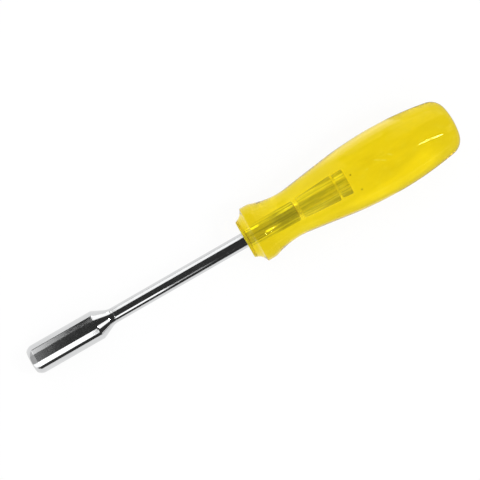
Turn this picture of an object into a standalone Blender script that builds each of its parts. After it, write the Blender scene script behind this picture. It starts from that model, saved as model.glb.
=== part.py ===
"""Six-lobe socket driver: a clear moulded handle on a plated steel shank that carries a socket head.

The tool lies level along X, socket mouth towards -X, on the floor at z = 0. Every piece is modelled
about the tool's axis, at stations measured from the handle's front face: the blade lies at negative
stations and the handle at positive ones.
"""

import math

import bmesh
import bpy
from mathutils import Vector

# Lengths along the axis, in metres.
BLADE_LENGTH = 0.1226  # socket mouth to the handle's front face
HANDLE_LENGTH = 0.1197
SOCKET_LENGTH = 0.0473  # mouth to the joint with the shank
NECK_LENGTH = 0.0078  # tapered end of the socket, inside SOCKET_LENGTH

# Socket head.
SOCKET_DIAMETER = 0.0155
NOSE_LENGTH = 0.0032  # rounded rim at the mouth, along the axis
NOSE_ROUND = 0.0055  # radius of that rim
RIM_LAND = 0.00015  # flat left round the recess at its crests
SHOULDER_ROUND = 0.0022  # between the barrel and the taper
NECK_ROUND = 0.0080  # between the taper and the shank
LOBE_DIAMETER = 0.0113  # across opposite lobes of the recess
LOBE_DEPTH = 0.0015  # from a lobe's crest to the flank between lobes
LOBE_ROUND = 0.0011  # radius of a lobe's crest
LOBES = 6
RECESS_DEPTH = 0.0120  # of the lobed part
RELIEF_STEP = 0.0003  # how far the drilled relief stays inside the flanks
RELIEF_DEPTH = 0.0100  # of the drilled relief behind the lobes
DRILL_ANGLE = math.radians(118)
MOUTH_CHAMFER = 0.00025

# Shank.
SHANK_DIAMETER = 0.0080
SPIGOT_DIAMETER = 0.0050
SPIGOT_LENGTH = 0.0100
SPIGOT_CHAMFER = 0.0005

# Tang, coined inside the handle: a flat above and below, and a wing on each side.
TANG_START = 0.0296  # handle's front face to the first groove
FRONT_GROOVE = 0.0027  # length of the groove before the wings
WING_LENGTH = 0.0200
REAR_GROOVE = 0.0018  # length of the groove behind the wings
TANG_BLOCK = 0.0050  # full end behind that groove
GROOVE_DEPTH = 0.0005
GROOVE_WALL = 0.0003  # run of a groove's sloping wall
TANG_THICKNESS = 0.0070  # across the flats
TANG_FLAT = 0.0042  # width of a flat
TANG_FRONT_WIDTH = 0.0082  # across the wings where they start
TANG_END_WIDTH = 0.0102  # and at the end of the shank
WING_EDGE = 0.0020  # thickness of a wing at its edge
TANG_CHAMFER = 0.0006

# Handle, turned outline.
BOSS_DIAMETER = 0.0204
BOSS_LENGTH = 0.0009
BOSS_ROUND = 0.0008
COVE_ROUND = 0.0072  # hollow between the boss and the flange
FLANGE_DIAMETER = 0.0300
FLANGE_START = 0.0049  # station where the cove meets the flange
FLANGE_EDGE = 0.0005  # how far the cove ends below the crest
FLANGE_CREST = 0.0085  # station where the crest starts to fall
CREST_ROUND = 0.0075  # from the crest down to the waist
WAIST_DIAMETER = 0.0242
WAIST_STATION = 0.0253
WAIST_ROUND = 0.0330  # from the waist up to the flank
FLANK_LENGTH = 0.0230  # straight run between the waist and the belly
BELLY_DIAMETER = 0.0352
BELLY_STATION = 0.0800
TAIL_FALL = 0.0046  # how far the belly's curve would fall by the end of the handle
TAIL_ROUND = 0.0083  # corner between the belly's curve and the dome
DOME_ROUND = 0.0360  # radius of the domed end

# Fits between pieces.
MOULD_GAP = 0.0003  # shank to handle
BRAZE_GAP = 0.0001  # shank to socket
OVERCUT = 0.0020  # how far a cutter runs out past the face it opens
MERGE_DISTANCE = 0.0000001

# Facets.
TURN_STEPS = 48  # round a turned piece
SIDE_STEPS = 4  # on each of the tang's eight sides
LOBE_STEPS = 6  # on half a crest or half a flank
ARC_ANGLE = math.radians(6)  # most that one facet of an outline's arc turns
ARC_LENGTH = 0.0040  # and its most length
ROUND_ANGLE = math.radians(18)  # as ARC_ANGLE, on the handle's small edge rounds
SHARP_ANGLE = math.radians(30)

HALF_FACET = math.pi / TURN_STEPS
AXIS_HEIGHT = BELLY_DIAMETER / 2 * math.cos(HALF_FACET)
FRONT_FACE_X = (BLADE_LENGTH - HANDLE_LENGTH) / 2
MOUTH = -BLADE_LENGTH
JOINT = MOUTH + SOCKET_LENGTH
WINGS_START = TANG_START + FRONT_GROOVE
WINGS_END = WINGS_START + WING_LENGTH
TANG_END = WINGS_END + REAR_GROOVE + TANG_BLOCK
SHANK_RADIUS = SHANK_DIAMETER / 2
LOBE_RADIUS = LOBE_DIAMETER / 2
FLANK_RADIUS = LOBE_RADIUS - LOBE_DEPTH
RELIEF_RADIUS = FLANK_RADIUS - RELIEF_STEP
BAR_STEPS = 8 * SIDE_STEPS  # points round the bar, as many as round the tang


def clear_scene():
    for old in list(bpy.data.objects):
        bpy.data.objects.remove(old, do_unlink=True)


def finish(name, colour, roughness, metallic=0.0, transmission=0.0):
    """A Principled material."""
    material = bpy.data.materials.new(name)
    material.use_nodes = True
    shader = material.node_tree.nodes["Principled BSDF"]
    shader.inputs["Base Color"].default_value = (*colour, 1)
    shader.inputs["Roughness"].default_value = roughness
    shader.inputs["Metallic"].default_value = metallic
    shader.inputs["Transmission Weight"].default_value = transmission
    return material


def shade(mesh):
    mesh.shade_smooth()
    mesh.set_sharp_from_angle(angle=SHARP_ANGLE)


def keep(name, shape, parent, material=None):
    """Puts a bmesh in the scene under the tool's axis. With no material it is a cutter."""
    bmesh.ops.remove_doubles(shape, verts=shape.verts, dist=MERGE_DISTANCE)
    bmesh.ops.recalc_face_normals(shape, faces=shape.faces)
    if shape.calc_volume(signed=True) < 0:
        bmesh.ops.reverse_faces(shape, faces=shape.faces)
    mesh = bpy.data.meshes.new(name)
    shape.to_mesh(mesh)
    shape.free()
    shade(mesh)
    piece = bpy.data.objects.new(name, mesh)
    bpy.context.collection.objects.link(piece)
    piece.parent = parent
    if material is None:
        piece.hide_render = True
        piece.display_type = "WIRE"
    else:
        mesh.materials.append(material)
    return piece


def cut(piece, cutters):
    """Takes the cutters out of a piece, and shades the edges that they leave."""
    for cutter in cutters:
        modifier = piece.modifiers.new(cutter.name, "BOOLEAN")
        modifier.operation = "DIFFERENCE"
        modifier.solver = "EXACT"
        modifier.object = cutter
    graph = bpy.context.evaluated_depsgraph_get()
    piece.data = bpy.data.meshes.new_from_object(piece.evaluated_get(graph))
    piece.modifiers.clear()
    shade(piece.data)
    for cutter in cutters:
        bpy.data.objects.remove(cutter)


def arc_to(start, end, radius):
    """Points after start, up to end, on the arc of this radius. A negative radius bends it the other way."""
    start, end = Vector(start), Vector(end)
    chord = end - start
    side = Vector((-chord.y, chord.x)).normalized()
    reach = math.sqrt(radius * radius - chord.length_squared / 4)
    centre = (start + end) / 2 + side * math.copysign(reach, radius)
    spoke = start - centre
    across = Vector((-spoke.y, spoke.x))
    turn = -spoke.angle_signed(end - centre)
    steps = math.ceil(max(abs(turn) / ARC_ANGLE, abs(turn * radius) / ARC_LENGTH))
    turns = [turn * step / steps for step in range(1, steps + 1)]
    return [tuple(centre + spoke * math.cos(angle) + across * math.sin(angle)) for angle in turns]


def level_radius(run, fall):
    """Radius of the arc that leaves along the axis and has this fall after this run."""
    return (run * run + fall * fall) / (2 * fall)


def swell_to(start, end, first_radius, straight=0):
    """Points after start, up to end, on two arcs with a straight run between, level at both ends."""
    run = end[0] - start[0]
    rise = abs(end[1] - start[1])
    bend = math.copysign(1, end[1] - start[1])
    both = level_radius(run, rise) - straight * straight / (2 * rise)
    turn = math.atan2(run, both - rise) - math.atan2(straight, both)
    last_radius = both - first_radius
    across = Vector((math.sin(turn), bend * (1 - math.cos(turn))))
    points = arc_to(start, Vector(start) + across * first_radius, bend * first_radius)
    leave = tuple(Vector(end) - across * last_radius)
    if straight:
        points.append(leave)
    return points + arc_to(leave, end, -bend * last_radius)


def round_to(start, end):
    """Points after start, up to end, on a quarter ellipse that leaves start across the axis."""
    run = end[0] - start[0]
    rise = end[1] - start[1]
    steps = math.ceil(math.pi / 2 / ROUND_ANGLE)
    turns = [math.pi / 2 * step / steps for step in range(1, steps + 1)]
    return [(start[0] + run * (1 - math.cos(angle)), start[1] + rise * math.sin(angle)) for angle in turns]


def corner_centre(first, first_radius, second, second_radius, corner_radius):
    """Centre of a corner round that touches two larger circles from inside, on its far side along X."""
    reach_first = first_radius - corner_radius
    reach_second = second_radius - corner_radius
    apart = second - first
    along = (apart.length_squared + reach_first**2 - reach_second**2) / (2 * apart.length)
    off = math.sqrt(reach_first**2 - along**2)
    ahead = apart.normalized()
    side = Vector((ahead.y, -ahead.x))
    return first + ahead * along + side * math.copysign(off, side.x)


def turned(outline):
    """A solid of revolution about X, with facets and not edges at its top and bottom, so that it lies still.

    The outline of (station, radius) starts and ends on the axis.
    """
    shape = bmesh.new()
    start = Vector((0, math.sin(HALF_FACET), math.cos(HALF_FACET)))
    verts = [shape.verts.new(Vector((station, 0, 0)) + start * radius) for station, radius in outline]
    edges = [shape.edges.new(pair) for pair in zip(verts, verts[1:])]
    bmesh.ops.spin(
        shape,
        geom=verts + edges,
        cent=(0, 0, 0),
        axis=(1, 0, 0),
        angle=math.tau,
        steps=TURN_STEPS,
        use_merge=True,
    )
    return shape


def lofted(rings):
    """A closed solid through rings of points. Each ring's points are joined to the next ring's in order."""
    shape = bmesh.new()
    loops = [[shape.verts.new(point) for point in ring] for ring in rings]
    for near, far in zip(loops, loops[1:]):
        for point in range(len(near)):
            shape.faces.new((near[point - 1], near[point], far[point], far[point - 1]))
    shape.faces.new(loops[0])
    shape.faces.new(loops[-1])
    return shape


def bar_ring(station, radius):
    """One round section of the bar, with as many points as a section of the tang."""
    turns = [math.tau * step / BAR_STEPS for step in range(BAR_STEPS)]
    return [(station, radius * math.cos(turn), radius * math.sin(turn)) for turn in turns]


def tang_ring(station, grown):
    """One eight-sided section of the tang, every side moved out by this much. The wings widen rearwards."""
    spread = (TANG_END_WIDTH - TANG_FRONT_WIDTH) / (TANG_END - WINGS_START)
    wing = (TANG_FRONT_WIDTH + spread * (station - WINGS_START)) / 2
    edge = WING_EDGE / 2
    flat = TANG_FLAT / 2
    high = TANG_THICKNESS / 2
    lean = math.atan2(wing - flat, high - edge)
    edge_corner = Vector((wing + grown, edge + grown * math.tan(lean / 2)))
    flat_corner = Vector((flat + grown * math.tan(math.pi / 4 - lean / 2), high + grown))
    upper = [edge_corner, flat_corner, flat_corner * Vector((-1, 1)), edge_corner * Vector((-1, 1))]
    corners = upper + [-corner for corner in upper]
    sides = zip(corners[-1:] + corners[:-1], corners)
    ring = [near.lerp(far, step / SIDE_STEPS) for near, far in sides for step in range(SIDE_STEPS)]
    first = SIDE_STEPS // 2
    return [(station, point.x, point.y) for point in ring[first:] + ring[:first]]


def bar_rings(gap):
    """The bar from its first groove to its end, or with a gap the cavity that holds it in the handle."""
    full = SHANK_RADIUS + gap
    rear = WINGS_END + REAR_GROOVE
    rings = [
        bar_ring(TANG_START + gap, full),
        bar_ring(TANG_START + GROOVE_WALL + gap, full - GROOVE_DEPTH),
        bar_ring(WINGS_START - GROOVE_WALL - gap, full - GROOVE_DEPTH),
    ]
    tang = (
        (WINGS_START - gap, 0),
        (WINGS_END + gap, 0),
        (WINGS_END + GROOVE_WALL + gap, GROOVE_DEPTH),
        (rear - GROOVE_WALL - gap, GROOVE_DEPTH),
        (rear - gap, 0),
        (TANG_END - TANG_CHAMFER + gap, 0),
        (TANG_END + gap, TANG_CHAMFER),
    )
    return rings + [tang_ring(station, gap - shrunk) for station, shrunk in tang]


def make_shank(axis):
    """The bar with its spigot at the socket end and its coined tang at the other."""
    spigot_end = JOINT - SPIGOT_LENGTH
    radius = SPIGOT_DIAMETER / 2
    front = (
        (spigot_end, radius - SPIGOT_CHAMFER),
        (spigot_end + SPIGOT_CHAMFER, radius),
        (JOINT + BRAZE_GAP, radius),
        (JOINT + BRAZE_GAP, SHANK_RADIUS),
    )
    rings = [bar_ring(station, size) for station, size in front]
    chrome = finish("shank_chrome", (0.75, 0.75, 0.76), 0.10, metallic=1.0)
    return keep("shank", lofted(rings + bar_rings(0)), axis, chrome)


def socket_outline():
    """Outside of the socket head, from its mouth to its joint with the shank."""
    radius = SOCKET_DIAMETER / 2
    rim = (MOUTH, LOBE_RADIUS + MOUTH_CHAMFER + RIM_LAND)
    barrel = (MOUTH + NOSE_LENGTH, radius)
    taper = math.atan2(radius - SHANK_RADIUS, NECK_LENGTH)
    shoulder = JOINT - NECK_LENGTH
    bend = math.tan(taper / 2)
    before = SHOULDER_ROUND * bend
    after = NECK_ROUND * bend
    slope = Vector((math.cos(taper), -math.sin(taper)))
    corner = Vector((shoulder - after, radius))
    foot = Vector((JOINT - after, SHANK_RADIUS))
    outline = [(MOUTH, 0), rim]
    outline += arc_to(rim, barrel, -NOSE_ROUND)
    outline.append((corner.x - before, radius))
    outline += arc_to(outline[-1], corner + slope * before, -SHOULDER_ROUND)
    outline.append(tuple(foot - slope * after))
    outline += arc_to(outline[-1], (JOINT, SHANK_RADIUS), NECK_ROUND)
    outline.append((JOINT, 0))
    return outline


def lobe_ring(station, grown=0):
    """The recess's outline: six crests joined by six flanks, every arc tangent to the next."""
    half = math.pi / LOBES
    crest_centre = LOBE_RADIUS - LOBE_ROUND
    lean = crest_centre * math.cos(half)
    room = crest_centre**2 + FLANK_RADIUS**2 - 2 * FLANK_RADIUS * lean - LOBE_ROUND**2
    flank_round = room / (2 * (LOBE_ROUND - FLANK_RADIUS + lean))
    flank_centre = FLANK_RADIUS + flank_round
    between = Vector((flank_centre * math.cos(half) - crest_centre, flank_centre * math.sin(half)))
    crest_turn = math.atan2(between.y, between.x)
    flank_turn = crest_turn - half
    ring = []
    for lobe in range(LOBES):
        crest = math.tau * lobe / LOBES
        flank = crest + half
        for step in range(-LOBE_STEPS, LOBE_STEPS + 1):
            ring.append((crest, crest_centre, LOBE_ROUND + grown, crest + crest_turn * step / LOBE_STEPS))
        for step in range(1 - LOBE_STEPS, LOBE_STEPS):
            ring.append((flank, flank_centre, grown - flank_round, flank - flank_turn * step / LOBE_STEPS))
    return [
        (
            station,
            centre * math.cos(spoke) + radius * math.cos(angle),
            centre * math.sin(spoke) + radius * math.sin(angle),
        )
        for spoke, centre, radius, angle in ring
    ]


def make_socket(axis):
    """The head: a turned body with the lobed recess, its drilled relief and the bore for the spigot."""
    chrome = finish("socket_chrome", (0.72, 0.72, 0.73), 0.14, metallic=1.0)
    socket = keep("socket", turned(socket_outline()), axis, chrome)
    floor = MOUTH + RECESS_DEPTH
    rings = [
        lobe_ring(MOUTH - OVERCUT, MOUTH_CHAMFER),
        lobe_ring(MOUTH, MOUTH_CHAMFER),
        lobe_ring(MOUTH + MOUTH_CHAMFER),
        lobe_ring(floor),
    ]
    drilled = floor + RELIEF_DEPTH
    point = RELIEF_RADIUS / math.tan(DRILL_ANGLE / 2)
    relief = [
        (floor - OVERCUT, 0),
        (floor - OVERCUT, RELIEF_RADIUS),
        (drilled, RELIEF_RADIUS),
        (drilled + point, 0),
    ]
    bore_radius = SPIGOT_DIAMETER / 2 + BRAZE_GAP
    bore_end = JOINT - SPIGOT_LENGTH - BRAZE_GAP
    bore = [
        (bore_end, 0),
        (bore_end, bore_radius),
        (JOINT + OVERCUT, bore_radius),
        (JOINT + OVERCUT, 0),
    ]
    cutters = [
        keep("recess_cutter", lofted(rings), axis),
        keep("relief_cutter", turned(relief), axis),
        keep("spigot_cutter", turned(bore), axis),
    ]
    cut(socket, cutters)
    return socket


def tail_outline(belly):
    """Points after the belly's widest station: its curve, the corner round and the dome."""
    belly_round = level_radius(HANDLE_LENGTH - BELLY_STATION, TAIL_FALL)
    belly_centre = Vector((BELLY_STATION, belly[1] - belly_round))
    dome_centre = Vector((HANDLE_LENGTH - DOME_ROUND, 0))
    corner = corner_centre(belly_centre, belly_round, dome_centre, DOME_ROUND, TAIL_ROUND)
    corner_start = corner + (corner - belly_centre).normalized() * TAIL_ROUND
    corner_end = corner + (corner - dome_centre).normalized() * TAIL_ROUND
    outline = arc_to(belly, corner_start, -belly_round)
    outline += arc_to(corner_start, corner_end, -TAIL_ROUND)
    outline += arc_to(corner_end, (HANDLE_LENGTH, 0), -DOME_ROUND)
    return outline


def handle_outline():
    """Outside of the handle from the front face's centre to the tail's."""
    boss = BOSS_DIAMETER / 2
    flange = FLANGE_DIAMETER / 2
    face_edge = (0, boss - BOSS_ROUND)
    boss_edge = (BOSS_LENGTH, boss)
    cove_end = (FLANGE_START, flange - FLANGE_EDGE)
    crest_front = (FLANGE_START + 2 * FLANGE_EDGE, flange)
    crest_back = (FLANGE_CREST, flange)
    waist = (WAIST_STATION, WAIST_DIAMETER / 2)
    belly = (BELLY_STATION, BELLY_DIAMETER / 2)
    outline = [(0, 0), face_edge]
    outline += round_to(face_edge, boss_edge)
    outline += arc_to(boss_edge, cove_end, COVE_ROUND)
    outline += round_to(cove_end, crest_front)
    outline.append(crest_back)
    outline += swell_to(crest_back, waist, CREST_ROUND)
    outline += swell_to(waist, belly, WAIST_ROUND, FLANK_LENGTH)
    return outline + tail_outline(belly)


def make_handle(axis):
    """The grip: a turned solid moulded round the shank and its tang."""
    acetate = finish("handle_acetate", (0.86, 0.66, 0.02), 0.08, transmission=0.8)
    handle = keep("handle", turned(handle_outline()), axis, acetate)
    mouth = [bar_ring(-OVERCUT, SHANK_RADIUS + MOULD_GAP)]
    cut(handle, [keep("cavity_cutter", lofted(mouth + bar_rings(MOULD_GAP)), axis)])
    return handle


def main():
    clear_scene()
    axis = bpy.data.objects.new("tool_axis", None)
    bpy.context.collection.objects.link(axis)
    axis.location = (FRONT_FACE_X, 0, AXIS_HEIGHT)
    make_handle(axis)
    make_shank(axis)
    make_socket(axis)


main()
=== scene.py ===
# %% [markdown]
# # A six-lobe socket driver in clear acetate and chrome
#
# The packed model is the fixed frame of this lesson: three solids, a handle, a shank and a socket, at
# their true size. Their facets are fine for fitting and for contact, but polished chrome and clear
# plastic show every facet. So each piece is modelled again here, smooth, in the same place, and then
# gets its finish, its light and its portrait.

# %% Load the frame
import math

import bmesh
import bpy
from mathutils import Matrix, Vector


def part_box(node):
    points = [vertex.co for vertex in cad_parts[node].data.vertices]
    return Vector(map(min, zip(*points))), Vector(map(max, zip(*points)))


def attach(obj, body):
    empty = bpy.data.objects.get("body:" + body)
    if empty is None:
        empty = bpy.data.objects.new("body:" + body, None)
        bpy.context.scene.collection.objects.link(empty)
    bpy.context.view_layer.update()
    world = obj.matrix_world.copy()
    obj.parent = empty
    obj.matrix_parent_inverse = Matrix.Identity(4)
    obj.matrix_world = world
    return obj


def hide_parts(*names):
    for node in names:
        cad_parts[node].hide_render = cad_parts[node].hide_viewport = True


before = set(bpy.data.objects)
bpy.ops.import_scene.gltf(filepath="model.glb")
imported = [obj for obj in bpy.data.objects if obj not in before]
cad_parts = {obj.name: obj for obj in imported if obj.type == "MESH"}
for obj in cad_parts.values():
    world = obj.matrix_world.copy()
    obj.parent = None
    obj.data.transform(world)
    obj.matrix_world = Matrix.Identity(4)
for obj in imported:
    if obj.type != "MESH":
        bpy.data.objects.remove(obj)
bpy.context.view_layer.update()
MM = 0.001

# %% [markdown]
# ## Where things are
#
# A driver is a turned thing, so one line rules it: its axis. Every length below is in millimetres along
# that axis, counted from the front face of the handle, with a radius from the axis. The frame gives
# the line itself: the middle of the socket is its height, and the handle's lowest x is the zero.

# %% Find the axis
handle_low, handle_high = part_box("handle")
socket_low, socket_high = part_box("socket")
ZERO = Vector((handle_low.x, 0.0, (socket_low.z + socket_high.z) / 2))
print("front face and axis in mm:", round(ZERO.x / MM, 3), round(ZERO.z / MM, 3))

# %% [markdown]
# ## Drawing an outline
#
# A lathe hand reads a drawing of one half of the profile: straight cuts and rounds. A round could be
# typed in as points, but spinning a single vertex about the round's centre draws it exactly, so that is
# what the helper does. A row of the outline is a point to reach, and a centre if the way there is a round.

# %% Outline helpers
ROUND_STEP = math.radians(4)
ROUND_LENGTH = 0.9 * MM
HOLD = 0.15 * MM
LONG_CUT = 5 * HOLD


def at(station, radius):
    """A point of the half profile, which is drawn above the axis."""
    return Vector((station * MM, 0.0, radius * MM))


def verts_of(parts):
    """The vertices among the parts that an operator gives back."""
    return [part for part in parts if isinstance(part, bmesh.types.BMVert)]


def cut_round(shape, tip, centre, end):
    """Spins the tip about a centre until it reaches the end, and gives back the last vertex."""
    start = tip.co - centre
    goal = end - centre
    sweep = math.atan2(start.z * goal.x - start.x * goal.z, start.dot(goal))
    by_angle = math.ceil(abs(sweep) / ROUND_STEP)
    by_length = math.ceil(abs(sweep) * goal.length / ROUND_LENGTH)
    steps = max(2, by_angle, by_length)
    spun = bmesh.ops.spin(shape, geom=[tip], cent=centre, axis=(0, 1, 0), angle=sweep, steps=steps)
    last = verts_of(spun["geom_last"])[0]
    last.co = end
    return last


def cut_line(shape, tip, end):
    """Draws a straight cut from the tip to the end, with a holding point near each end of a long one."""
    way = end - tip.co
    stops = [end]
    if way.length > LONG_CUT:
        hold = way * (HOLD / way.length)
        stops = [tip.co + hold, end - hold, end]
    for stop in stops:
        last = shape.verts.new(stop)
        shape.edges.new((tip, last))
        tip = last
    return tip


def draw_profile(shape, start, rows):
    """Draws a whole half profile: each row is a point, and a centre where the cut is a round."""
    tip = shape.verts.new(at(*start))
    for row in rows:
        if len(row) == 2:
            tip = cut_round(shape, tip, at(*row[1]), at(*row[0]))
        else:
            tip = cut_line(shape, tip, at(*row[0]))


print("longest step of a round in mm:", ROUND_LENGTH / MM)

# %% [markdown]
# ## Turning it
#
# One full spin about the axis makes the solid of the profile, as a lathe does. The first and the last
# copy meet, so the spin merges them, and the points that lie on the axis are merged into one. A spin can
# leave a skin inside out, so the normals are worked out again when the shape is kept.

# %% Turning and keeping helpers
AROUND = 240
MERGE = 0.002 * MM
CREASE = math.radians(32)


def turn(shape):
    """Spins all that is drawn so far right round the axis and closes the seam."""
    drawn = shape.verts[:] + shape.edges[:]
    bmesh.ops.spin(shape, geom=drawn, cent=(0, 0, 0), axis=(1, 0, 0), angle=math.tau, steps=AROUND,
                   use_merge=True)
    bmesh.ops.remove_doubles(shape, verts=shape.verts, dist=MERGE)


def keep(shape, name, finish):
    """Puts a finished shape in its place in the frame as an object, smooth but for its sharp edges."""
    bmesh.ops.recalc_face_normals(shape, faces=shape.faces)
    bmesh.ops.translate(shape, verts=shape.verts, vec=ZERO)
    mesh = bpy.data.meshes.new(name)
    shape.to_mesh(mesh)
    shape.free()
    mesh.shade_smooth()
    mesh.set_sharp_from_angle(angle=CREASE)
    piece = bpy.data.objects.new(name, mesh)
    bpy.context.collection.objects.link(piece)
    mesh.materials.append(finish)
    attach(piece, "root")
    print(name, "has", len(mesh.polygons), "faces")
    return piece


print("facets in a full turn:", AROUND)

# %% [markdown]
# ## A shorthand for shader maths
#
# Finishes are worked out by nodes. Typing each Math node would hide the idea, so one small class holds
# an output socket: adding or multiplying two of them adds the node that does it, and its one method makes
# any other node, settings first and sockets after.

# %% The wire class
class Wire:
    """An output socket of a node tree, with arithmetic that adds Math nodes."""

    def __init__(self, tree, socket=None):
        self.tree = tree
        self.socket = socket

    def node(self, kind, settings, sockets, output=0):
        """Adds a node, gives it its settings, then its socket values or links, and wires one output."""
        made = self.tree.nodes.new("ShaderNode" + kind)
        for name, value in settings.items():
            setattr(made, name, value)
        for name, value in sockets.items():
            if isinstance(value, Wire):
                self.tree.links.new(value.socket, made.inputs[name])
            else:
                made.inputs[name].default_value = value
        return Wire(self.tree, made.outputs[output] if len(made.outputs) else None)

    def math(self, operation, first, second):
        """Adds a Math node on two values."""
        return self.node("Math", {"operation": operation}, {0: first, 1: second})

    def __add__(self, other):
        return self.math("ADD", self, other)

    def __radd__(self, other):
        return self.math("ADD", other, self)

    def __sub__(self, other):
        return self.math("SUBTRACT", self, other)

    def __rsub__(self, other):
        return self.math("SUBTRACT", other, self)

    def __mul__(self, other):
        return self.math("MULTIPLY", self, other)

    def __rmul__(self, other):
        return self.math("MULTIPLY", other, self)

    def __truediv__(self, other):
        return self.math("DIVIDE", self, other)

    def __rtruediv__(self, other):
        return self.math("DIVIDE", other, self)

    def __abs__(self):
        return self.node("Math", {"operation": "ABSOLUTE"}, {0: self})


print("methods of a wire:", sum(callable(method) for method in vars(Wire).values()))

# %% [markdown]
# A new finish starts from an empty tree. Its pattern space is the object's own coordinates, moved so
# that zero is the handle's front face on the axis, and in millimetres, so a noise of scale 2 has grains
# of about half a millimetre. Two numbers are asked for again and again: how far along the tool a point
# is, and how far from its axis.

# %% Start of a finish
def start_finish(name):
    """Gives back a new material and a wire with its coordinates in millimetres."""
    finish = bpy.data.materials.new(name)
    finish.use_nodes = True
    finish.node_tree.nodes.clear()
    place = Wire(finish.node_tree).node("TexCoord", {}, {}, "Object")
    centred = place.node("VectorMath", {"operation": "SUBTRACT"}, {0: place, 1: ZERO})
    grid = place.node("VectorMath", {"operation": "SCALE"}, {0: centred, "Scale": 1 / MM})
    return finish, grid


def part_of(vector, axis):
    """One of the three numbers of a vector."""
    return vector.node("SeparateXYZ", {}, {"Vector": vector}, axis)


def along(grid):
    """How far behind the handle's front face a point is."""
    return part_of(grid, "X")


def from_axis(grid):
    """How far from the axis a point is."""
    flat = grid.node("VectorMath", {"operation": "MULTIPLY"}, {0: grid, 1: (0, 1, 1)})
    return grid.node("VectorMath", {"operation": "LENGTH"}, {0: flat}, "Value")


print("pattern grids per metre:", round(1 / MM))

# %% [markdown]
# A few helpers then make nearly every pattern: a noise whose grains can be drawn out, a soft step, a band
# that is the product of two steps, and a mix of two colours. A mask is a number from 0 to 1, so masks are
# joined by plain arithmetic.

# %% Pattern helpers
LINE_STRETCH = (0.06, 5.0, 5.0)
LINE_PATCHES = (0.5, 0.68)


def noise(grid, scale, detail=2.0, rough=0.5, stretch=(1, 1, 1), turned=(0, 0, 0)):
    """A noise from 0 to 1, its grains drawn out by a stretch."""
    laid = grid.node("Mapping", {}, {"Vector": grid, "Scale": stretch, "Rotation": turned})
    grains = {"Vector": laid, "Scale": scale, "Detail": detail, "Roughness": rough}
    return grid.node("TexNoise", {}, grains)


def ramp(value, low, high, first=0.0, last=1.0):
    """Turns a value between low and high into one between first and last, and holds it outside."""
    ends = {"Value": value, "From Min": low, "From Max": high, "To Min": first, "To Max": last}
    return value.node("MapRange", {"clamp": True, "interpolation_type": "SMOOTHSTEP"}, ends)


def between(value, start, full, fade, end):
    """1 from full to fade, and 0 before start and after end."""
    return ramp(value, start, full) * (1 - ramp(value, fade, end))


def band(value, low, high, soft):
    """1 where a value lies between low and high, and 0 outside, with soft ends."""
    return between(value, low - soft, low + soft, high - soft, high + soft)


def blend(share, first, second):
    """Mixes two colours."""
    return share.node("Mix", {"data_type": "RGBA"}, {0: share, 6: first, 7: second}, 2)


def hairlines(grid, sets):
    """Sparse fine lines in turned sets: the middle of a noise that is drawn out some eighty times."""
    lines = 0
    for turned, width in sets:
        drawn = noise(grid, scale=1.0, detail=1.0, stretch=LINE_STRETCH, turned=turned)
        sparse = noise(grid, scale=0.22)
        lines = lines + (1 - ramp(abs(drawn - 0.5), 0.0, width)) * ramp(sparse, *LINE_PATCHES)
    return lines


print("pattern helpers:", [made.__name__ for made in (noise, ramp, between, band, blend, hairlines)])

# %% [markdown]
# ## Chrome
#
# The steel is turned, polished on a wheel and plated with bright chromium. Plating follows what lies
# under it: faint rings from turning, hairline scratches from the bench, and smears where fingers and
# cloths have been. Nearly all of its look is what it mirrors, so the finish is a metal with a low
# roughness, and all of these marks are tiny.
#
# Inside the handle the bar was never polished. There it is drawn steel with long streaks, and where the
# press pinched the tang it is rougher and paler. Near the flange it is painted paler still, a painted
# light for the glints that the flange throws on it, and the wings get painted shade along their edges.
# That grey is worked out by itself first, and the plating then takes it where a mask says that the steel
# is dull.

# %% Unpolished steel
TANG_ZONE = (29, 33)
# painted light: the bar is made paler near the flange, for the glints that the flange throws there
PAINTED_LIGHT_FRONT = (12, 21)
STREAKS = (0.38, 0.60)
BAR_TONES = [(0.42, 0.44, 0.46, 1), (0.66, 0.69, 0.72, 1)]
PALE_OR_LIT_TONES = [(0.66, 0.70, 0.74, 1), (1.0, 1.0, 1.0, 1)]
# painted shade: a darker tone along the edges of the wings
WING_SHADE_RADIUS = (4.2, 4.6)
WING_SHADE_TONE = (0.22, 0.22, 0.22, 1)
WING_SHADE_SHARE = 0.45


def unpolished(grid, tang):
    """The bar in the handle: streaked, painted light at the front, painted shade at the wing edges."""
    streaks = noise(grid, scale=1.0, detail=3.0, rough=0.6, stretch=(0.04, 1.2, 1.2))
    # painted light at the front of the bar, beside the real paleness of the pressed tang
    pale_or_lit = tang + 1 - ramp(along(grid), *PAINTED_LIGHT_FRONT)
    low_tone, high_tone = [blend(pale_or_lit, *tones) for tones in zip(BAR_TONES, PALE_OR_LIT_TONES)]
    worked = blend(ramp(streaks, *STREAKS), low_tone, high_tone)
    # painted shade along the wing edges
    edges = tang * ramp(from_axis(grid), *WING_SHADE_RADIUS)
    return blend(WING_SHADE_SHARE * edges, worked, WING_SHADE_TONE)


print("the tang starts between", *TANG_ZONE, "mm")

# %% [markdown]
# The plating itself: one function makes the finish of both steel pieces, and takes two masks, where the
# steel is dull and where it is bright: worn fresh on the socket's rim, a painted highlight in the bar's
# grooves.

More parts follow.
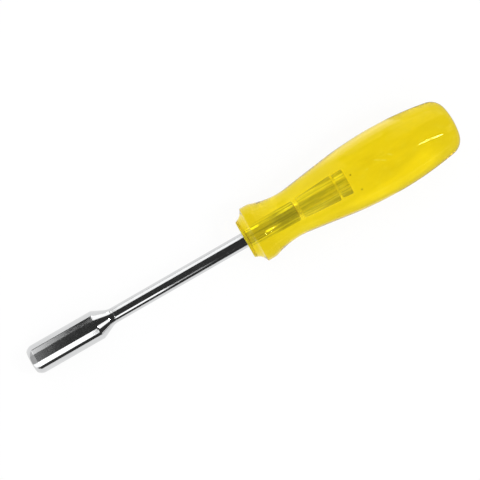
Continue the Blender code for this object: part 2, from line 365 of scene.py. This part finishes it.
# %% Chrome finish
STEEL_TINT = (0.68, 0.685, 0.69, 1)
SMEARED_TINT = (*[0.94 * level for level in STEEL_TINT[:3]], 1)
FRESH_OR_LIT_STEEL = (0.97, 0.96, 0.93, 1)
PLATE_ROUGH, SMEAR_ROUGH, RING_ROUGH, SCRATCH_ROUGH = 0.045, 0.05, 0.03, 0.14
SATIN_ROUGH, TANG_ROUGH = 0.02, 0.30
RING_HEIGHT, SMEAR_HEIGHT, GRAIN_HEIGHT, SCRATCH_DEPTH = 0.0016, 0.0011, 0.003, 0.0012
SMEAR_DULLS, SMEAR_SHADES, GRAIN_SHOWS = (0.4, 0.75), (0.35, 0.8), (0.2, 0.8, 0.8, 1.0)
PLATE_LINES = [((0.2, 0.3, 0.5), 0.012), ((0.9, 1.2, 0.1), 0.010)]


def chrome(name, dull, fresh_or_lit):
    """Bright plating: a dull mask makes it satin, a bright one shows worn metal or a painted highlight."""
    finish, grid = start_finish(name)
    smears = noise(grid, scale=0.16, detail=4.0, rough=0.6, stretch=(0.6, 1, 1))
    rings = noise(grid, scale=1.0, detail=3.0, rough=0.6, stretch=(3.2, 0.03, 0.03))
    grain = noise(grid, scale=5.0, detail=3.0, rough=0.65)
    scratch = hairlines(grid, PLATE_LINES)
    satin = dull(grid)
    tang = ramp(along(grid), *TANG_ZONE)
    rough = PLATE_ROUGH + SMEAR_ROUGH * ramp(smears, *SMEAR_DULLS) + RING_ROUGH * rings
    rough = rough + SCRATCH_ROUGH * scratch + satin * (SATIN_ROUGH + TANG_ROUGH * tang)
    colour = blend(ramp(smears, *SMEAR_SHADES), STEEL_TINT, SMEARED_TINT)
    colour = blend(satin * ramp(grain, *GRAIN_SHOWS), colour, unpolished(grid, tang))
    # bright steel: worn fresh at the socket's rim, and a painted highlight in the bar's grooves
    colour = blend(fresh_or_lit(grid), colour, FRESH_OR_LIT_STEEL)
    height = RING_HEIGHT * rings + SMEAR_HEIGHT * smears
    height = height + GRAIN_HEIGHT * satin * grain - SCRATCH_DEPTH * scratch
    bump = grid.node("Bump", {}, {"Height": height, "Strength": 1.0, "Distance": MM})
    metal = {"Base Color": colour, "Metallic": 1.0, "Roughness": rough, "Normal": bump}
    skin = grid.node("BsdfPrincipled", {}, metal)
    grid.node("OutputMaterial", {}, {"Surface": skin})
    return finish


print("steel tint:", STEEL_TINT[:3])

# %% [markdown]
# The bar is dull from the handle's front face on. Its two grooves are painted bright, a painted highlight
# for the bright rings that show there through the plastic. The socket is dull only inside its recess,
# which the broach cut and the wheel couldn't reach, and its rim is worn bright by the screws it has met.

# %% Where the steel is dull, fresh or painted bright
HANDLE_FRONT = (-0.2, 1.5)
RECESS_RADIUS = (5.9, 6.05)
RECESS_END = (-100.0, -96.0)
FRONT_GROOVE = (29.5, 29.9, 32.0, 32.35)
REAR_GROOVE = (52.25, 52.4, 53.45, 53.6)
RIM = (-122.58, -122.3)


def dull_in_handle(grid):
    """The bar behind the handle's front face."""
    return ramp(along(grid), *HANDLE_FRONT)


def dull_in_recess(grid):
    """The inside of the socket, near its mouth."""
    return (1 - ramp(from_axis(grid), *RECESS_RADIUS)) * (1 - ramp(along(grid), *RECESS_END))


def grooves_painted_bright(grid):
    """The two grooves of the tang, given a painted highlight."""
    return between(along(grid), *FRONT_GROOVE) + between(along(grid), *REAR_GROOVE)


def fresh_at_mouth(grid):
    """The rim of the socket."""
    return 1 - ramp(along(grid), *RIM)


# the bar's grooves get a painted highlight
shank_chrome = chrome("shank_chrome_plate", dull_in_handle, grooves_painted_bright)
socket_chrome = chrome("socket_chrome_plate", dull_in_recess, fresh_at_mouth)
print("chrome nodes:", len(shank_chrome.node_tree.nodes), len(socket_chrome.node_tree.nodes))

# %% [markdown]
# ## Clear yellow acetate
#
# The handle is moulded cellulose acetate, clear right through and dyed, then polished in a drum. Painting
# it yellow would hide the bar inside. The surface could be left colourless, with all of the colour in the
# depth behind it, but then thin edges go pale, and the real ones hardly do. So the light is tinted
# a little at the surface, and the volume takes away the blue that is left.
#
# Years of use show on it too: a few short nicks on the top of the belly and two dark flecks. Each is
# a mask round a point.

# %% Nicks and flecks
NICKS = [((75.5, 1.8, 17.5), -30, 3.6), ((78.3, 0.1, 17.5), -32, 3.0), ((82.4, 1.0, 17.5), -41, 2.8),
         ((69.0, 0.3, 17.3), 15, 1.3), ((98.9, -1.3, 16.4), 30, 1.6)]
NICK_WIDTH = (0.12, 0.38)
NICK_DEPTH = (-3.0, -2.0)
FLECKS = [((60.6, 1.9, 16.6), 0.6), ((62.2, -7.1, 15.2), 0.55)]


def nick(grid, place, slant, length):
    """A short scratch on the top of the handle, its slant in degrees in plan."""
    offset = grid.node("VectorMath", {"operation": "SUBTRACT"}, {0: grid, 1: place})
    turned = grid.node("VectorRotate", {"rotation_type": "Z_AXIS"},
                       {"Vector": offset, "Angle": math.radians(-slant)})
    fades = 1 - ramp(abs(part_of(turned, "X")), 0.3 * length, 0.5 * length)
    thin = 1 - ramp(abs(part_of(turned, "Y")), *NICK_WIDTH)
    above = ramp(part_of(offset, "Z"), *NICK_DEPTH)
    return thin * fades * above


def fleck(grid, place, size):
    """A tiny dark spot in the surface."""
    gap = grid.node("VectorMath", {"operation": "DISTANCE"}, {0: grid, 1: place}, "Value")
    return 1 - ramp(gap, 0.5 * size, size)


print("marks of use:", len(NICKS), "nicks and", len(FLECKS), "flecks")

# %% [markdown]
# The tint follows streaks of flow in the dye. Both ends of the handle and the cove behind the boss are
# deeper in colour, the frosted front face is painted paler, a painted light, and scratches are nearly
# white.
# Each of these is one more blend, laid over those before it like coats of thin varnish.

# %% Acetate colour
DYE_TONES = (0.955, 0.80, 0.11, 1), (0.865, 0.71, 0.085, 1)
END_TONE, END_SHARE = (0.84, 0.69, 0.11, 1), 0.6
# painted light: a paler, yellower tone for the front face
FRONT_LIGHT_TONE, FRONT_LIGHT_SHARE = (1.0, 0.90, 0.06, 1), 0.8
COVE_TONE = (0.93, 0.77, 0.02, 1)
SCRATCH_TONE = (1.0, 0.98, 0.72, 1)
FLECK_TONE = (0.20, 0.13, 0.02, 1)
FRONT_FACE_ZONE, FRONT_END, TAIL_END = (1.1, 2.2), (8, 22), (98, 112)
COVE_ZONE = (2.2, 5.2, 0.6)
FLOW_SHADES = (0.3, 0.75)


def acetate_colour(grid, flow, frosted_and_lit, marks):
    """The tint that light takes at the surface, from the flow of the dye to the flecks."""
    colour = blend(ramp(flow, *FLOW_SHADES), *DYE_TONES)
    ends = ramp(along(grid), *TAIL_END) + 1 - ramp(along(grid), *FRONT_END)
    colour = blend(END_SHARE * ends, colour, END_TONE)
    # painted light: the front face is made paler and yellower
    colour = blend(FRONT_LIGHT_SHARE * frosted_and_lit, colour, FRONT_LIGHT_TONE)
    colour = blend(band(along(grid), *COVE_ZONE), colour, COVE_TONE)
    colour = blend(marks, colour, SCRATCH_TONE)
    for place, size in FLECKS:
        colour = blend(fleck(grid, place, size), colour, FLECK_TONE)
    return colour


print("dye tones:", *[tone[:3] for tone in DYE_TONES])

# %% [markdown]
# The surface itself has soft waves from shrinking, hairlines and dust, and the front face is frosted. The
# index of refraction is lower than a table of plastics says, because the bar inside should look only
# slightly larger than it is.

# %% Acetate finish
CLEAR_ROUGH, FLOW_ROUGH, LINE_ROUGH, DUST_ROUGH, SAWN_ROUGH = 0.02, 0.03, 0.10, 0.02, 0.45
FLOW_DULLS, DUST_DULLS = (0.45, 0.8), (0.6, 0.8)
WAVE_HEIGHT, FLOW_HEIGHT, LINE_DEPTH = 0.03, 0.0012, 0.001
SKIN_LINES = [((0.1, 0.4, 0.3), 0.012), ((1.1, 0.2, 0.9), 0.010)]
CLEAR = {"IOR": 1.34, "Specular Tint": (1.0, 0.88, 0.17, 1), "Transmission Weight": 0.96}
DEPTH = {"Color": (0.9785, 0.95, 0.0, 1), "Density": 107.0}


def acetate(name):
    """Clear dyed plastic with a polished skin."""
    finish, grid = start_finish(name)
    waves = noise(grid, scale=0.05, detail=1.0, rough=0.4, stretch=(0.5, 1, 1))
    flow = noise(grid, scale=0.3, detail=3.0, rough=0.6, stretch=(0.15, 1, 1))
    dust = noise(grid, scale=1.6, detail=4.0, rough=0.7)
    lines = hairlines(grid, SKIN_LINES)
    # the front face: frosted, and painted paler as a painted light
    frosted_and_lit = 1 - ramp(along(grid), *FRONT_FACE_ZONE)
    rough = CLEAR_ROUGH + FLOW_ROUGH * ramp(flow, *FLOW_DULLS) + LINE_ROUGH * lines
    rough = rough + DUST_ROUGH * ramp(dust, *DUST_DULLS) + SAWN_ROUGH * frosted_and_lit
    marks = lines
    for place, slant, length in NICKS:
        marks = marks + nick(grid, place, slant, length)
    colour = acetate_colour(grid, flow, frosted_and_lit, marks)
    height = WAVE_HEIGHT * waves + FLOW_HEIGHT * flow - LINE_DEPTH * marks
    bump = grid.node("Bump", {}, {"Height": height, "Strength": 1.0, "Distance": MM})
    plastic = {"Base Color": colour, "Roughness": rough, "Normal": bump, **CLEAR}
    skin = grid.node("BsdfPrincipled", {}, plastic)
    depth = grid.node("VolumeAbsorption", {}, DEPTH)
    grid.node("OutputMaterial", {}, {"Surface": skin, "Volume": depth})
    return finish


handle_acetate = acetate("handle_clear_acetate")
print("acetate nodes:", len(handle_acetate.node_tree.nodes))

# %% [markdown]
# ## The handle
#
# One moulding: a small boss round the bar, a cove up to a hard flange, a waist for the fingertips, a
# long belly for the palm and a domed tail. It also has the hole that the bar fills, kept a hair smaller
# than the bar here, so that the plastic lies tight on the steel with no film of air between, as it does
# when it is moulded round it. All of it is round, so the whole handle is one profile, turned once. A last
# scaling across, by a hair, fits it to the box of the solid, whose flat facets lie just inside the circle.

# %% Turn the handle
BELLY = 17.6
BORE, TANG_BORE = 3.9, 3.3
BORE_STEP, BORE_END = 29.8, 58.9
HANDLE_START = (BORE_END, 0.0)
HANDLE_ROWS = [
    [(BORE_END, TANG_BORE)], [(BORE_STEP, TANG_BORE)], [(BORE_STEP, BORE)], [(0.0, BORE)],
    [(0.0, 9.35)],                               # the boss's face
    [(0.85, 10.2), (0.85, 9.35)],                # its rounded edge
    [(4.9, 14.5), (-1.9134, 16.8276)],           # the cove
    [(5.4, 15.0), (5.4, 14.5)],                  # the flange's corner
    [(8.5, 15.0)],                               # the flange
    [(11.0144, 14.5660), (8.5, 7.5)],            # its shoulder
    [(25.3, 12.1), (25.3, 54.7121)],             # down to the waist
    [(29.9485, 12.4290), (25.3, 45.1)],          # and out of it
    [(52.7192, 15.6689)],                        # the straight flank
    [(80.0, BELLY), (80.0, -176.0673)],          # the belly, up
    [(112.1806, 14.5915), (80.0, -156.0141)],    # and down
    [(118.7150, 8.3636), (110.6421, 6.4353)],    # the tail's edge
    [(119.7, 0.0), (83.7, 0.0)],                 # and its dome
]
handle_shape = bmesh.new()
draw_profile(handle_shape, HANDLE_START, HANDLE_ROWS)
turn(handle_shape)
snug = (handle_high.z - handle_low.z) / (2 * BELLY * MM)
bmesh.ops.scale(handle_shape, verts=handle_shape.verts, vec=(1, snug, snug))
handle = keep(handle_shape, "handle_moulding", handle_acetate)
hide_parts("handle")

# %% [markdown]
# ## The socket
#
# A turned head, with a rounded nose, a long barrel and a neck that tapers to the bar. Its outside is a
# profile again, drawn from the bar's seat round to the mouth. It stays open at the mouth, where the
# recess goes in.

# %% Turn the socket's outside
MOUTH = -122.6
SEAT, SEAT_RADIUS, NECK_END = -85.4, 2.6, -75.3
SOCKET_START = (SEAT, 0.0)
SOCKET_ROWS = [
    [(SEAT, SEAT_RADIUS)], [(NECK_END, SEAT_RADIUS)], [(NECK_END, 3.88)],
    [(-75.42, 4.0), (-75.42, 3.88)],             # the neck's edge at the bar
    [(-78.7663, 4.79), (NECK_END, 12.0)],        # the neck's hollow
    [(-84.4713, 7.5328)],                        # its taper
    [(-85.4246, 7.75), (-85.4246, 5.55)],        # the shoulder
    [(-119.4, 7.75)],                            # the barrel
    [(MOUTH, 6.05), (-118.5637, 2.3140)],        # the nose
]
socket_shape = bmesh.new()
draw_profile(socket_shape, SOCKET_START, SOCKET_ROWS)
turn(socket_shape)
print("socket outside:", len(socket_shape.faces), "faces")

# %% [markdown]
# The recess has six round lobes with hollows between them, all tangent. Half a lobe is two rounds about
# centres off the axis: spin a point about the lobe's centre, then about the hollow's. A mirror makes the
# lobe whole, and spinning copies of it round the axis closes the ring. It is drawn a step inside the
# mouth, where the walls start, and pulled out a little wider for the chamfer at the mouth.

# %% Draw the lobed ring
LOBES = 6
LOBE_TURN = math.tau / LOBES
LOBE_CENTRE, LOBE_ROUND, LOBE_STEPS = 4.55, 1.1, 12
HOLLOW_CENTRE, HOLLOW_STEPS = 6.4015, 8
CHAMFER = 0.25


def added(shape, old):
    """The edges that came after the old ones, and their vertices."""
    edges = [edge for edge in shape.edges if edge not in old]
    return edges, list({vert for edge in edges for vert in edge.verts})


def half_lobe(shape, station):
    """Draws half a lobe and half the hollow beside it."""
    lobe = Vector((station * MM, LOBE_CENTRE * MM, 0))
    hollow_way = Vector((0, math.cos(LOBE_TURN / 2), math.sin(LOBE_TURN / 2)))
    hollow = Vector((station * MM, 0, 0)) + hollow_way * HOLLOW_CENTRE * MM
    reach = (hollow - lobe).normalized()
    swing = math.atan2(reach.z, reach.y)
    tip = shape.verts.new(lobe + Vector((0, LOBE_ROUND * MM, 0)))
    spun = bmesh.ops.spin(shape, geom=[tip], cent=lobe, axis=(1, 0, 0), angle=swing, steps=LOBE_STEPS)
    tip = verts_of(spun["geom_last"])[0]
    back = math.atan2(-reach.z, -reach.y)
    goal = math.atan2(-hollow_way.z, -hollow_way.y)
    sweep = (goal - back + math.pi) % math.tau - math.pi
    bmesh.ops.spin(shape, geom=[tip], cent=hollow, axis=(1, 0, 0), angle=sweep, steps=HOLLOW_STEPS)


def lobed_ring(shape, station):
    """Draws the six-lobe ring at a station and gives back its edges."""
    old = set(shape.edges)
    half_lobe(shape, station)
    edges, verts = added(shape, old)
    bmesh.ops.mirror(shape, geom=edges + verts, matrix=Matrix.Identity(4), axis="Z", merge_dist=0)
    edges, verts = added(shape, old)
    bmesh.ops.spin(shape, geom=edges + verts, cent=(0, 0, 0), axis=(1, 0, 0), angle=math.tau - LOBE_TURN,
                   steps=LOBES - 1, use_duplicate=True)
    bmesh.ops.remove_doubles(shape, verts=added(shape, old)[1], dist=MERGE)
    return added(shape, old)[0]


mouth_ring = [edge for edge in socket_shape.edges if edge.is_boundary]
wall_ring = lobed_ring(socket_shape, MOUTH + CHAMFER)
print("mouth ring:", len(mouth_ring), "edges; lobed ring:", len(wall_ring), "edges")

# %% [markdown]
# From the lobed ring the recess is cut both ways: out to the chamfer and the flat land of the mouth,
# and in along the walls to the floor, where a plain drilled hole goes on for the end of a long screw and
# closes in the drill's point. A fill between two flat rings takes care of the land and the floor.

# %% Cut the recess
CHAMFER_SWELL = 1.047
RECESS_DEPTH = 12.0
RELIEF_RADIUS, RELIEF_DEPTH, RELIEF_FACETS = 3.85, 10.0, 96
POINT_DEPTH, TO_A_POINT = 2.31, 0.0001


def pull(shape, ring, shift, swell=1.0):
    """Extrudes a ring along the axis by a shift in mm, swelling it, and gives back the new ring."""
    grown = bmesh.ops.extrude_edge_only(shape, edges=ring)["geom"]
    verts = verts_of(grown)
    bmesh.ops.translate(shape, verts=verts, vec=(shift * MM, 0, 0))
    bmesh.ops.scale(shape, verts=verts, vec=(1, swell, swell))
    kept = set(verts)
    return [part for part in grown if isinstance(part, bmesh.types.BMEdge) and kept.issuperset(part.verts)]


land_ring = pull(socket_shape, wall_ring, -CHAMFER, CHAMFER_SWELL)
bmesh.ops.triangle_fill(socket_shape, edges=mouth_ring + land_ring, use_beauty=True)
floor_ring = pull(socket_shape, wall_ring, RECESS_DEPTH - CHAMFER)
relief_plane = Matrix.Translation(at(MOUTH + RECESS_DEPTH, 0)) @ Matrix.Rotation(math.pi / 2, 4, "Y")
relief = bmesh.ops.create_circle(socket_shape, segments=RELIEF_FACETS, radius=RELIEF_RADIUS * MM,
                                 matrix=relief_plane)
relief_ring = list({edge for vert in relief["verts"] for edge in vert.link_edges})
bmesh.ops.triangle_fill(socket_shape, edges=floor_ring + relief_ring, use_beauty=True)
relief_end = pull(socket_shape, relief_ring, RELIEF_DEPTH)
pull(socket_shape, relief_end, POINT_DEPTH, TO_A_POINT)
bmesh.ops.remove_doubles(socket_shape, verts=socket_shape.verts, dist=MERGE)
open_edges = [edge for edge in socket_shape.edges if not edge.is_manifold]
print("open edges in the socket:", len(open_edges))
socket = keep(socket_shape, "socket_head", socket_chrome)
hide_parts("socket")

# %% [markdown]
# ## The shank
#
# A round bar. Outside it is plain; at the front a spigot, which is hidden, sits in the socket's neck.
# Inside the handle a press has pinched it: a narrow groove, two flats with wings that spread to the rear,
# a second groove, and the end of the bar in the same eight-sided section. The bar is turned from its
# profile, thinner where it passes through the tang.

# %% Turn the bar
BAR, GROOVE = 4.0, 3.5
SPIGOT_TIP, SPIGOT = -85.3, 2.5
CORE_END = 58.0
SHANK_START = (SPIGOT_TIP, 0.0)
SHANK_ROWS = [
    [(SPIGOT_TIP, 2.0)], [(-84.8, SPIGOT)], [(NECK_END, SPIGOT)], [(NECK_END, 3.88)],
    [(-75.18, BAR), (-75.18, 3.88)],             # the bar's edge at the neck
    [(29.45, BAR)],                              # the bar
    [(29.6, 3.85), (29.45, 3.85)],               # over the edge
    [(29.75, 3.6)],
    [(29.9, GROOVE), (29.9, 3.6)],               # into the groove
    [(CORE_END, GROOVE)], [(CORE_END, 0.0)],     # the core of the tang
]
shank_shape = bmesh.new()
draw_profile(shank_shape, SHANK_START, SHANK_ROWS)
turn(shank_shape)
print("bar:", len(shank_shape.faces), "faces")

# %% [markdown]
# The tang is two blocks with an eight-sided section. Eight vertices start each, an extrusion carries
# the section along, and scaling the new end across spreads the wings. A bevel along all the edges stands
# for the round that the die leaves.

# %% Press the tang
TANG_HALF_HEIGHT, TANG_HALF_FLAT, WING_HALF_EDGE = 3.5, 2.1, 1.0
DIE_ROUND, DIE_ROUND_STEPS = 0.28, 4
TANG_BLOCKS = [(32.3, 52.3, 4.1, 5.1), (53.6, 59.1, 4.75, 5.1)]


def tang_block(shape, start, end, first_width, last_width):
    """Adds a block of the tang between two stations, its wings going from one half width to another."""
    flat, top, edge = TANG_HALF_FLAT * MM, TANG_HALF_HEIGHT * MM, WING_HALF_EDGE * MM
    wing = first_width * MM
    outline = [(wing, -edge), (wing, edge), (flat, top), (-flat, top),
               (-wing, edge), (-wing, -edge), (-flat, -top), (flat, -top)]
    corners = [shape.verts.new((start * MM, across, up)) for across, up in outline]
    first = shape.faces.new(corners)
    ends = verts_of(bmesh.ops.extrude_face_region(shape, geom=[first], use_keep_orig=True)["geom"])
    bmesh.ops.translate(shape, verts=ends, vec=((end - start) * MM, 0, 0))
    wings = [vert for vert in ends if abs(vert.co.z) < 2 * edge]
    bmesh.ops.scale(shape, verts=wings, vec=(1, last_width / first_width, 1))
    block = set(corners + ends)
    edges = [line for line in shape.edges if block.issuperset(line.verts)]
    bmesh.ops.bevel(shape, geom=edges, offset=DIE_ROUND * MM, affect="EDGES", segments=DIE_ROUND_STEPS,
                    profile=0.5, material=-1)


for tang_sizes in TANG_BLOCKS:
    tang_block(shank_shape, *tang_sizes)
shank = keep(shank_shape, "shank_bar", shank_chrome)
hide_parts("shank")

# %% [markdown]
# ## Floor
#
# The driver lies as a real one does: its weight is just in front of the flange, so it rests on the
# flange and on the socket's nose. The model keeps the axis level, so the floor is the thing that
# tilts, by about three degrees.

# %% Lay the floor
FLANGE_TOUCH = at(5.9, -15.0)
NOSE_TOUCH = at(-119.4, -7.75)
FLOOR_HALF = 3.0
FLOOR_GAP = Vector((0, 0, 0.02 * MM))
floor_slope = math.atan2(NOSE_TOUCH.z - FLANGE_TOUCH.z, FLANGE_TOUCH.x - NOSE_TOUCH.x)
floor_shape = bmesh.new()
bmesh.ops.create_grid(floor_shape, x_segments=1, y_segments=1, size=FLOOR_HALF)
bmesh.ops.rotate(floor_shape, verts=floor_shape.verts, cent=(0, 0, 0),
                 matrix=Matrix.Rotation(floor_slope, 3, "Y"))
bmesh.ops.translate(floor_shape, verts=floor_shape.verts, vec=FLANGE_TOUCH + ZERO - FLOOR_GAP)
floor_mesh = bpy.data.meshes.new("floor")
floor_shape.to_mesh(floor_mesh)
floor_shape.free()
floor = bpy.data.objects.new("floor", floor_mesh)
bpy.context.collection.objects.link(floor)
print("floor tilt in degrees:", round(math.degrees(floor_slope), 2))

# %% [markdown]
# The floor is white paper to the camera, and keeps a part of its own tone for the shadow. A photographer
# shapes such a shot with cards and screens that stay outside the picture, but that gloss mirrors. Here
# they lie on the floor, and only mirrored rays see them: a dark card along the near side of the handle,
# one at its tail, and a bright screen on the far side of the belly. Rays that come through the handle
# see two more things: the line of light that the clear belly gathers on the paper like a lens, and a
# brighter sheet on the far side of the waist. Light Path tells one kind of ray from another.

# %% Finish the floor
PAPER_TONES = (0.90, 0.90, 0.90, 1), (0.86, 0.86, 0.86, 1)
NEAR_CARD_ALONG, NEAR_CARD_ACROSS = (2, 10), (-45, -25)
TAIL_CARD, TAIL_CARD_SLANT, TAIL_CARD_SHADE = (85.5, 88.5), 0.28, 0.8
SCREEN_ALONG, SCREEN_ACROSS, SCREEN_GAIN = (30, 62), (40, 175, 12), 1.8
CARD_LEVEL = 0.2
LENS_LINE_WAY, LENS_LINE_WIDTH = (82, 102, -5.2, -3.3), (-1.2, 1.2, 0.8)
LENS_LINE_ALONG, LENS_LINE_GAIN = (54, 106, 8), 0.16
SHEET_ALONG, SHEET_ACROSS, SHEET_GAIN = (18, 33, 3), (24, 200, 5), 0.5
CAMERA_WHITE, GLOW_SHARE = 0.85, 0.97


def ray_kinds(wire):
    """Masks of the rays that come off a gloss and of those that come through something clear."""
    glossy = wire.node("LightPath", {}, {}, "Is Glossy Ray")
    through = wire.node("LightPath", {}, {}, "Is Transmission Ray")
    return glossy * (1 - through), through


def floor_light(place, across, mirrored, through):
    """How bright the paper is, with the cards and lights that some rays see."""
    near_card = ramp(place, *NEAR_CARD_ALONG) * (1 - ramp(across, *NEAR_CARD_ACROSS))
    tail_card = ramp(place - TAIL_CARD_SLANT * across, *TAIL_CARD)
    screen = ramp(place, *SCREEN_ALONG) * band(across, *SCREEN_ACROSS)
    shown = (1 - near_card) * (1 - TAIL_CARD_SHADE * tail_card) * (1 + SCREEN_GAIN * screen)
    lens_line = band(across - ramp(place, *LENS_LINE_WAY), *LENS_LINE_WIDTH)
    lens_line = lens_line * band(place, *LENS_LINE_ALONG)
    sheet = band(across, *SHEET_ACROSS) * band(place, *SHEET_ALONG)
    in_mirror = CARD_LEVEL + (1 - CARD_LEVEL) * shown
    in_clear = LENS_LINE_GAIN * lens_line + SHEET_GAIN * sheet
    return 1 - mirrored + mirrored * in_mirror + through * in_clear


def floor_finish():
    """White paper that glows for the rays that should see white."""
    finish, grid = start_finish("white_sweep")
    direct = grid.node("LightPath", {}, {}, "Is Camera Ray")
    mirrored, through = ray_kinds(grid)
    paper = blend(noise(grid, scale=0.4, detail=4.0), *PAPER_TONES)
    matt = grid.node("BsdfDiffuse", {}, {"Color": paper})
    light = floor_light(along(grid), part_of(grid, "Y"), mirrored, through)
    glow = grid.node("Emission", {}, {"Color": light, "Strength": 1.0})
    seen = ramp(CAMERA_WHITE * direct + mirrored + through, 0.0, 1.0, 0.0, GLOW_SHARE)
    mixed = grid.node("MixShader", {}, {0: seen, 1: matt, 2: glow})
    grid.node("OutputMaterial", {}, {"Surface": mixed})
    return finish


paper_finish = floor_finish()
floor.data.materials.append(paper_finish)
print("floor nodes:", len(paper_finish.node_tree.nodes))

# %% [markdown]
# ## Light
#
# Bright metal is lit by what it mirrors. A dark room overhead gives the long dark bands, white screens
# on the far side light the upper edge of the bar and of the neck, and narrow strips on the near side draw
# the fine lines down the front. One small strong strip, laid aslant, makes the glint near the tail. The
# lamps are placed by their angle from straight overhead and their place along the axis. A lamp can be
# hidden from mirrored or from refracted rays, so that a screen meant for the plating doesn't also burn
# a streak into the clear handle.

# %% Set the lamps
LAMP_DISTANCE = 0.6


def lamp(name, tilt, centre, spread, length, level, slant=0, mirrored=True, through=True):
    """A soft box seen from the axis at a tilt from overhead towards -Y, with its spread in degrees."""
    angle = math.radians(tilt)
    data = bpy.data.lights.new(name, "AREA")
    data.shape = "RECTANGLE"
    data.size = length
    data.size_y = 2 * LAMP_DISTANCE * math.tan(math.radians(spread / 2))
    data.energy = level * math.pi * data.size * data.size_y
    box = bpy.data.objects.new(name, data)
    off_axis = LAMP_DISTANCE * Vector((0, -math.sin(angle), math.cos(angle)))
    box.location = ZERO + Vector((centre, 0, 0)) + off_axis
    box.rotation_mode = "ZYX"
    box.rotation_euler = (angle, 0, math.radians(slant))
    box.visible_camera = False
    box.visible_glossy = mirrored
    box.visible_transmission = through
    bpy.context.collection.objects.link(box)


lamp("side_screen", tilt=-66, centre=-0.063, spread=43, length=0.134, level=1.35, through=False)
lamp("waist_screen", tilt=-76, centre=0.0375, spread=32, length=0.105, level=0.8, mirrored=False)
lamp("low_screen", tilt=-84, centre=0.102, spread=12, length=0.136, level=1.1)
lamp("nose_screen", tilt=-63, centre=-0.282, spread=38, length=0.19, level=0.62)
lamp("nose_screen_end", tilt=-66, centre=-0.177, spread=36, length=0.02, level=0.35)
lamp("socket_strip", tilt=41, centre=-0.198, spread=36, length=0.108, level=1.7)
lamp("bar_strip", tilt=42, centre=-0.105, spread=22, length=0.06, level=1.6)
lamp("bar_strip_end", tilt=43, centre=-0.055, spread=12, length=0.04, level=0.5)
lamp("glint_strip", tilt=20, centre=0.352, spread=2, length=0.20, level=90.0, slant=-55, through=False)

# %% [markdown]
# The world is what is left to mirror: a dim room, painted by direction. Beyond the socket stand paler
# walls with panels on them, beyond the handle are two windows, and a pale skirting runs along the near
# side. Seen through the handle, the room is pale all round and a little darker overhead, and the camera
# itself sees white. A direction's lean is 0 overhead, 1 on the near horizon and -1 on the far one.

# %% Set the world
ROOM_LEVEL = 0.035
FRONT_EDGE = (-0.145, -0.125)
FRONT_WALL = 0.45
FRONT_PANELS = [(0.15, (-1.2, -0.42, 0.05)), (-0.44, (0.63, 1.0, 0.03)), (1.0, (0.21, 0.57, 0.02))]
WINDOWS = [((0.14, 0.22), (-1.07, -0.40, 0.03)), ((0.60, 0.66), (0.07, 0.325, 0.02))]
WINDOW_LEVEL = 1.45
SKIRTING_HEIGHT, SKIRTING_LEAN, SKIRTING_LEVEL = (0.02, 0.07), (0.5, 0.7), 1.2
OVERHEAD_UP, OVERHEAD_ACROSS, OVERHEAD_DIM = 0.97, 0.242, (0.2, 0.45, 0.0, 0.4)


def mirrored_room(side, across, up):
    """How bright the room is in a mirror, by the three numbers of a direction."""
    lean = (0 - across) / (up + 1)
    walls = FRONT_WALL
    for level, reach in FRONT_PANELS:
        walls = walls + level * band(lean, *reach)
    windows = 0
    for edge, reach in WINDOWS:
        windows = windows + ramp(side, *edge) * band(lean, *reach)
    skirting = (1 - ramp(up, *SKIRTING_HEIGHT)) * ramp(lean, *SKIRTING_LEAN)
    front = (1 - ramp(side, *FRONT_EDGE)) * walls
    return ROOM_LEVEL + front + WINDOW_LEVEL * windows + SKIRTING_LEVEL * skirting


world = bpy.data.worlds.new("studio_room")
bpy.context.scene.world = world
world.use_nodes = True
world.node_tree.nodes.clear()
way = Wire(world.node_tree).node("TexCoord", {}, {}, "Generated")
way_side, way_across, way_up = [part_of(way, axis) for axis in "XYZ"]
in_mirror, in_clear = ray_kinds(way)
overhead = OVERHEAD_UP * way_up - OVERHEAD_ACROSS * way_across
elsewhere = 1 - in_clear * ramp(overhead, *OVERHEAD_DIM)
room_light = in_mirror * mirrored_room(way_side, way_across, way_up) + (1 - in_mirror) * elsewhere
sky = way.node("Background", {}, {"Color": room_light, "Strength": 1.0})
way.node("OutputWorld", {}, {"Surface": sky})
print("world nodes:", len(world.node_tree.nodes))

# %% [markdown]
# ## Camera
#
# The portrait is taken from straight above, with a long lens, and the tool lies across the picture from
# low left to high right, at about thirty degrees. Light crosses many surfaces on its way through the
# handle and back from the bar inside it, so rays may bounce more often than they do by default.

# %% Place the camera
TOOL_SLANT = math.radians(29.8914)
FRAME_WIDTH = 240 * MM
CAMERA_HEIGHT = 880 * MM
CAMERA_X, CAMERA_Y = -0.75 * MM, 1.2 * MM
SENSOR = 36
MOST_BOUNCES, MOST_MIRRORED, MOST_THROUGH = 24, 16, 20
camera_data = bpy.data.cameras.new("portrait_camera")
camera_data.sensor_width = SENSOR
camera_data.lens = SENSOR * CAMERA_HEIGHT / FRAME_WIDTH
camera = bpy.data.objects.new("portrait_camera", camera_data)
camera.location = (CAMERA_X, CAMERA_Y, ZERO.z + CAMERA_HEIGHT)
camera.rotation_euler = (0, 0, -TOOL_SLANT)
bpy.context.collection.objects.link(camera)
bpy.context.scene.camera = camera
bpy.context.scene.view_settings.view_transform = "Standard"
bpy.context.scene.cycles.max_bounces = MOST_BOUNCES
bpy.context.scene.cycles.glossy_bounces = MOST_MIRRORED
bpy.context.scene.cycles.transmission_bounces = MOST_THROUGH
print("lens in mm:", round(camera_data.lens, 1))

# %% [markdown]
# The dressed model has to stay inside the box of the solids.
